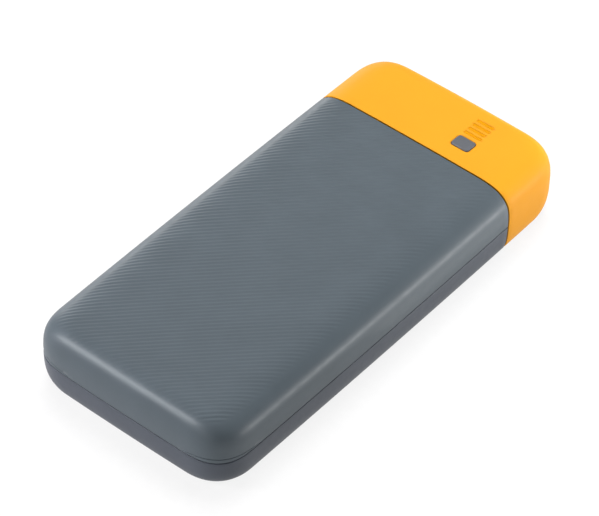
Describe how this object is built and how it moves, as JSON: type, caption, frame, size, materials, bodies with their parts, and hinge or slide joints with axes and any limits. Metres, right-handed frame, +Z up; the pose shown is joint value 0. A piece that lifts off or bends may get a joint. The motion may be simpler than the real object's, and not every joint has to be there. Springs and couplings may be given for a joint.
{
  "type": "power bank",
  "caption": "Slim rounded power bank in a two-part ribbed case, with an end cap that holds USB sockets, a push button and charge windows.",
  "frame": {"origin": "middle of the flat underside", "axes": "+Y along the length towards the end cap, +X across the width, +Z up out of the ribbed top"},
  "size_m": [0.0824, 0.178, 0.0257],
  "materials": {
    "shell_grey": "fine satin moulded plastic with fine diagonal ribs on its top",
    "lower_grey": "fine satin moulded plastic",
    "cap_orange": "fine satin moulded plastic",
    "button_grey": "satin",
    "guide_amber": "clear moulded, tinted like the cap",
    "board_green": "solder resist",
    "inner_plastic": "moulded",
    "screw_steel": "zinc plated",
    "socket_steel": "nickel plated sheet",
    "insulator_black": "moulded",
    "contact_gold": "gold plated",
    "contact_tin": "tinned",
    "plunger_white": "moulded",
    "dome_steel": "spring sheet",
    "led_white": "clear resin",
    "chip_black": "moulded package",
    "ceramic_tan": "ceramic",
    "coil_grey": "pressed powder core",
    "can_aluminium": "drawn can",
    "pouch_foil": "laminated foil pouch",
    "foam_black": "closed-cell foam",
    "tab_nickel": "nickel strip",
    "wire_black": "silicone insulation",
    "wire_red": "silicone insulation"
  },
  "bodies": {
    "case": {"top_shell": "shell_grey", "bottom_shell": "lower_grey", "end_cap": "cap_orange", "light_guide": "guide_amber", "main_board": "board_green", "board_carrier": "inner_plastic", "board_screws": "screw_steel", "carrier_screws": "screw_steel", "usb_a_shell_left": "socket_steel", "usb_a_shell_middle": "socket_steel", "usb_c_shell": "socket_steel", "usb_a_insulator_left": "insulator_black", "usb_a_insulator_middle": "insulator_black", "usb_c_insulator": "insulator_black", "usb_a_contacts_left": "contact_gold", "usb_a_contacts_middle": "contact_gold", "usb_c_contacts": "contact_gold", "switch_base": "insulator_black", "switch_feet": "contact_tin", "switch_cover": "contact_tin", "switch_dome": "dome_steel", "charge_leds": "led_white", "controller_ic": "chip_black", "charger_ics": "chip_black", "port_mosfets": "chip_black", "protection_mosfets": "chip_black", "resistors": "chip_black", "chip_capacitors": "ceramic_tan", "inductors": "coil_grey", "can_capacitors": "can_aluminium", "lower_cell": "pouch_foil", "upper_cell": "pouch_foil", "lower_foam": "foam_black", "middle_foam": "foam_black", "upper_foam": "foam_black", "end_foam": "foam_black", "lower_cell_tabs": "tab_nickel", "upper_cell_tabs": "tab_nickel", "protection_board": "board_green", "black_lead": "wire_black", "red_lead": "wire_red"},
    "key": {"button": "button_grey", "switch_plunger": "plunger_white"}
  },
  "joints": [
    {"name": "button_press", "type": "slide", "parent": "case", "child": "key", "axis": [0, 0, -1], "range_m": [0, 0.0004], "stiffness_N_per_m": 600, "deforming": ["switch_dome"]}
  ]
}
